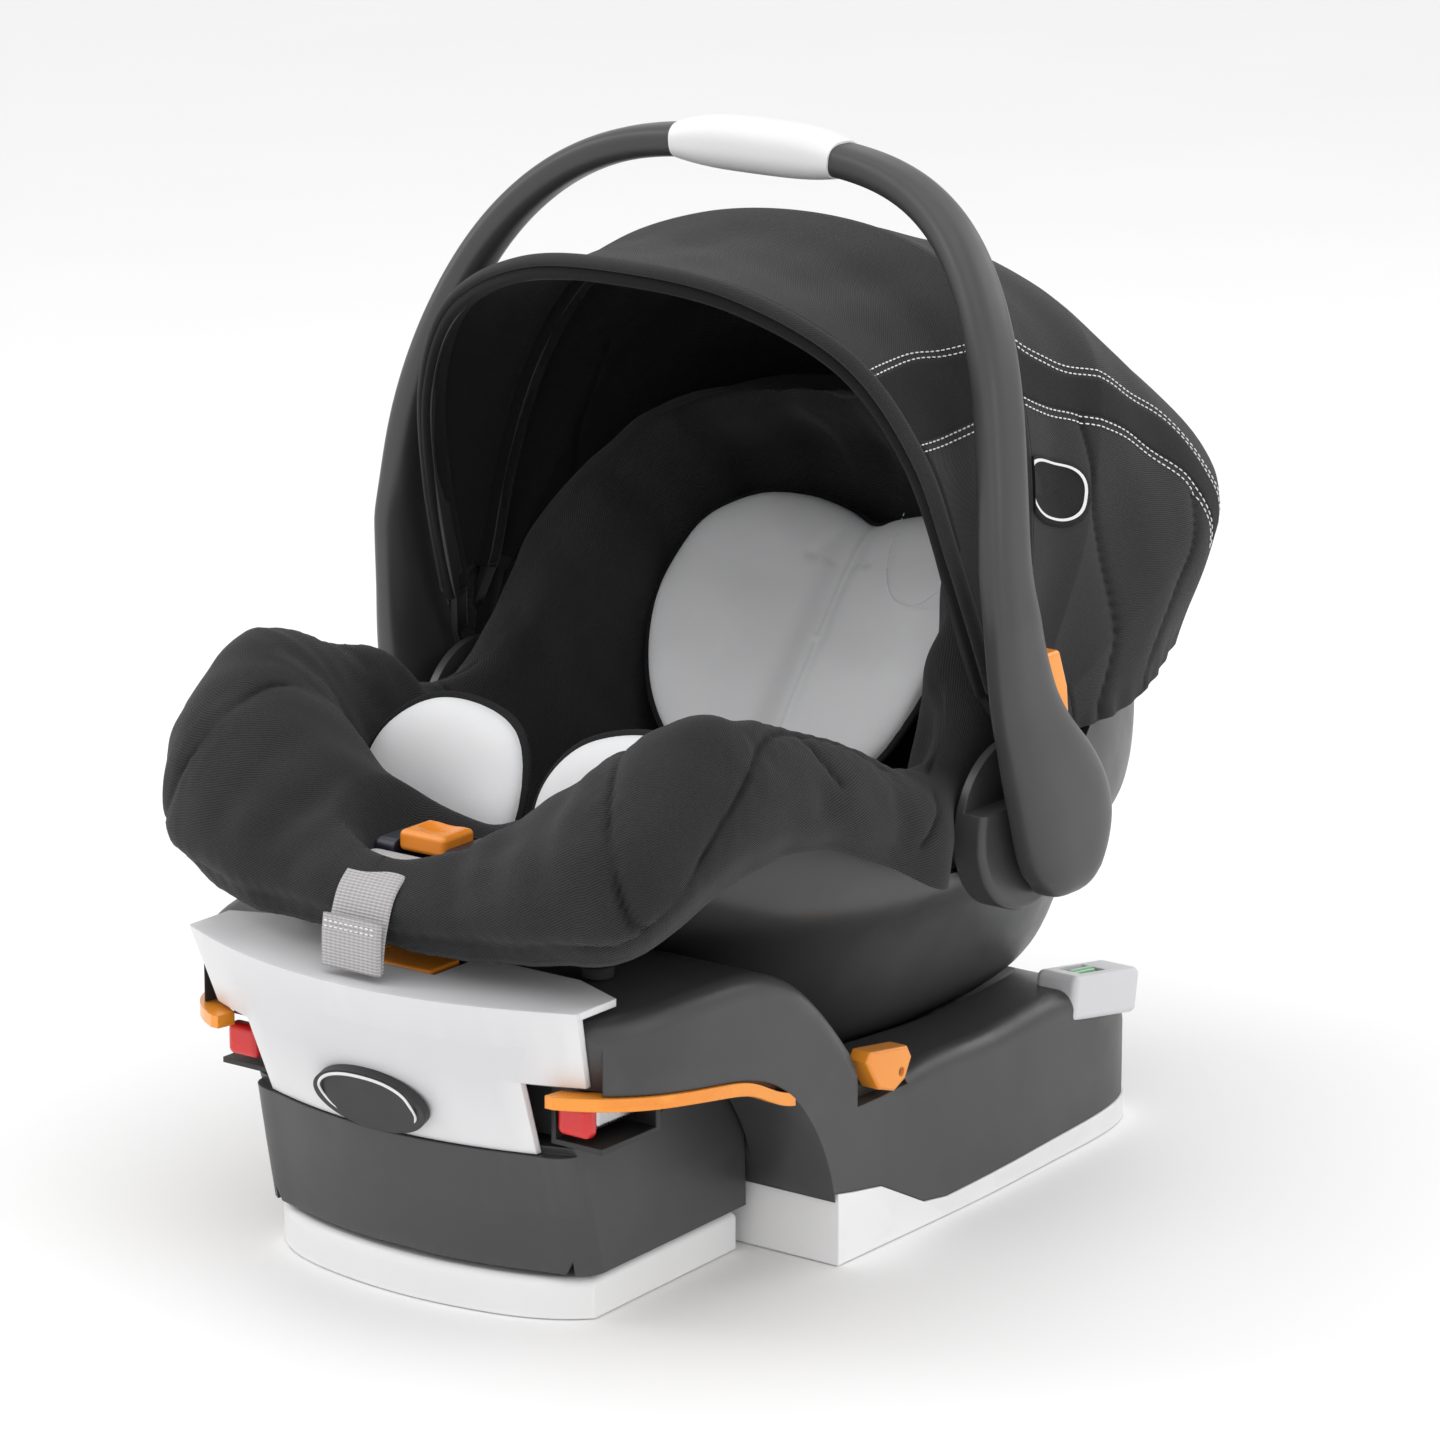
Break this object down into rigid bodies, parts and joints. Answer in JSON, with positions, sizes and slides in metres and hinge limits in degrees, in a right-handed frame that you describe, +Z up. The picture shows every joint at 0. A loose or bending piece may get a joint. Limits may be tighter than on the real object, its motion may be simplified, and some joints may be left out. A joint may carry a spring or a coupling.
{
  "type": "infant car seat",
  "caption": "Rear-facing infant carrier with padded seat, folding canopy and swinging carry handle, clicked onto a stay-in-car base with an adjustable front foot.",
  "frame": {"origin": "on the underside of the base tray, at the ground, on the plane of symmetry", "axes": "+Z up, +Y towards the head end, +X across the seat, mirror plane x = 0"},
  "size_m": [0.456, 0.6234, 0.5793],
  "materials": {
    "dark_plastic": "satin moulded grain",
    "silver_plastic": "satin silver-grey",
    "white_plastic": "satin",
    "orange_plastic": "semi-gloss",
    "black_plastic": "fine grain",
    "navy_plastic": "satin",
    "red_plastic": "gloss",
    "green_vial": "clear green",
    "rubber_black": "matt",
    "steel": "brushed",
    "foam_white": "moulded bead foam",
    "fabric_charcoal": "twill",
    "fabric_white": "jersey",
    "fabric_lining": "smooth lining",
    "fabric_binding": "bound edge",
    "thread_white": "topstitch",
    "webbing_grey": "ribbed webbing",
    "webbing_black": "ribbed webbing"
  },
  "bodies": {
    "base": {"base_shell": "dark_plastic", "base_tray": "white_plastic", "base_front_cover": "silver_plastic", "front_badge": "black_plastic", "level_bezels": "silver_plastic", "level_vials": "green_vial", "rest_bumpers": "rubber_black", "latch_pocket_left": "black_plastic", "latch_pocket_right": "black_plastic", "carrier_catch_front": "black_plastic", "carrier_catch_rear": "black_plastic", "tray_screws": "steel", "lockoff_pins": "steel"},
    "tightener": {"tightener_tab": "orange_plastic", "tightener_webbing": "webbing_grey"},
    "foot": {"foot_housing": "dark_plastic", "foot_pad": "white_plastic"},
    "lever_right": {"foot_lever_right": "orange_plastic"},
    "lever_left": {"foot_lever_left": "orange_plastic"},
    "lockoff_right": {"lockoff_paddle_right": "orange_plastic"},
    "lockoff_left": {"lockoff_paddle_left": "orange_plastic"},
    "latch_right": {"latch_connector_right": "steel"},
    "latch_left": {"latch_connector_left": "steel"},
    "latch_button_right": {"latch_release_right": "red_plastic"},
    "latch_button_left": {"latch_release_left": "red_plastic"},
    "carrier": {"carrier_shell": "dark_plastic", "foam_liner": "foam_white", "lock_bars": "steel", "hub_pod_left": "dark_plastic", "hub_pod_right": "dark_plastic", "handle_axles": "steel", "belt_guide_left": "black_plastic", "belt_guide_right": "black_plastic", "release_housing": "black_plastic", "seat_cover": "fabric_charcoal", "cover_front_roll": "fabric_charcoal", "lower_insert": "fabric_white", "upper_insert": "fabric_white", "shoulder_strap_left": "webbing_black", "shoulder_strap_right": "webbing_black", "hip_straps": "webbing_black", "buckle_tongues": "steel", "buckle_housing": "black_plastic", "crotch_strap": "webbing_black", "splitter_plate": "steel", "adjuster_bezel": "navy_plastic", "adjuster_webbing": "webbing_grey", "canopy_pivots": "steel", "canopy_rear_panel": "fabric_charcoal"},
    "harness_button": {"buckle_button": "red_plastic"},
    "adjuster": {"adjuster_lever": "orange_plastic"},
    "carrier_release": {"release_handle": "orange_plastic"},
    "handle": {"handle_bow": "dark_plastic", "handle_grip": "white_plastic"},
    "handle_button_right_body": {"handle_button_right": "orange_plastic"},
    "handle_button_left_body": {"handle_button_left": "orange_plastic"},
    "canopy_mid": {"canopy_mid_bow": "black_plastic", "canopy_front_panel": "fabric_charcoal"},
    "canopy_front": {"canopy_front_bow": "black_plastic"}
  },
  "joints": [
    {"name": "carrier_lift", "type": "slide", "parent": "base", "child": "carrier", "axis": [0, 0, 1], "range_m": [0, 0.25]},
    {"name": "tightener_pull", "type": "slide", "parent": "base", "child": "tightener", "axis": [0, 0, 1], "range_m": [0, 0.012]},
    {"name": "foot_extend", "type": "slide", "parent": "base", "child": "foot", "axis": [0, 0, -1], "range_m": [0, 0.05]},
    {"name": "foot_lever_right_squeeze", "type": "slide", "parent": "base", "child": "lever_right", "axis": [-1, 0, 0], "range_m": [0, 0.005], "stiffness_N_per_m": 500},
    {"name": "foot_lever_left_squeeze", "type": "slide", "parent": "base", "child": "lever_left", "axis": [1, 0, 0], "range_m": [0, 0.005], "stiffness_N_per_m": 500},
    {"name": "lockoff_right_hinge", "type": "hinge", "parent": "base", "child": "lockoff_right", "pos_m": [0.155, -0.056, 0.095], "axis": [-1, 0, 0], "range_deg": [0, 60]},
    {"name": "lockoff_left_hinge", "type": "hinge", "parent": "base", "child": "lockoff_left", "pos_m": [-0.155, -0.056, 0.095], "axis": [-1, 0, 0], "range_deg": [0, 60]},
    {"name": "latch_right_pull", "type": "slide", "parent": "base", "child": "latch_right", "axis": [0, -1, 0], "range_m": [0, 0.06]},
    {"name": "latch_left_pull", "type": "slide", "parent": "base", "child": "latch_left", "axis": [0, -1, 0], "range_m": [0, 0.06]},
    {"name": "latch_button_right_press", "type": "slide", "parent": "latch_right", "child": "latch_button_right", "axis": [0, 1, 0], "range_m": [0, 0.003], "stiffness_N_per_m": 400},
    {"name": "latch_button_left_press", "type": "slide", "parent": "latch_left", "child": "latch_button_left", "axis": [0, 1, 0], "range_m": [0, 0.003], "stiffness_N_per_m": 400},
    {"name": "buckle_button_press", "type": "slide", "parent": "carrier", "child": "harness_button", "axis": [0, 0, -1], "range_m": [0, 0.003], "stiffness_N_per_m": 400},
    {"name": "adjuster_lever_press", "type": "hinge", "parent": "carrier", "child": "adjuster", "pos_m": [0, -0.236, 0.238], "axis": [1, 0, 0], "range_deg": [0, 9], "stiffness_Nm_per_rad": 0.6},
    {"name": "carrier_release_squeeze", "type": "slide", "parent": "carrier", "child": "carrier_release", "axis": [0, 0, 1], "range_m": [0, 0.0035], "stiffness_N_per_m": 800},
    {"name": "handle_hinge", "type": "hinge", "parent": "carrier", "child": "handle", "pos_m": [0, 0.007, 0.225], "axis": [1, 0, 0], "range_deg": [-100, 60]},
    {"name": "handle_button_right_press", "type": "slide", "parent": "handle", "child": "handle_button_right_body", "axis": [0, -1, 0], "range_m": [0, 0.005], "stiffness_N_per_m": 600},
    {"name": "handle_button_left_press", "type": "slide", "parent": "handle", "child": "handle_button_left_body", "axis": [0, -1, 0], "range_m": [0, 0.005], "stiffness_N_per_m": 600},
    {"name": "canopy_mid_fold", "type": "hinge", "parent": "carrier", "child": "canopy_mid", "pos_m": [0, 0.016, 0.248], "axis": [-1, 0, 0], "range_deg": [0, 32], "deforming": ["canopy_rear_panel"]},
    {"name": "canopy_front_fold", "type": "hinge", "parent": "canopy_mid", "child": "canopy_front", "pos_m": [0, 0.016, 0.248], "axis": [-1, 0, 0], "range_deg": [0, 13.5], "deforming": ["canopy_front_panel"]}
  ],
  "couplings": [
    {"joint": "foot_lever_left_squeeze", "follows": "foot_lever_right_squeeze", "ratio": 1},
    {"joint": "handle_button_left_press", "follows": "handle_button_right_press", "ratio": 1},
    {"joint": "canopy_front_fold", "follows": "canopy_mid_fold", "ratio": 0.42}
  ]
}
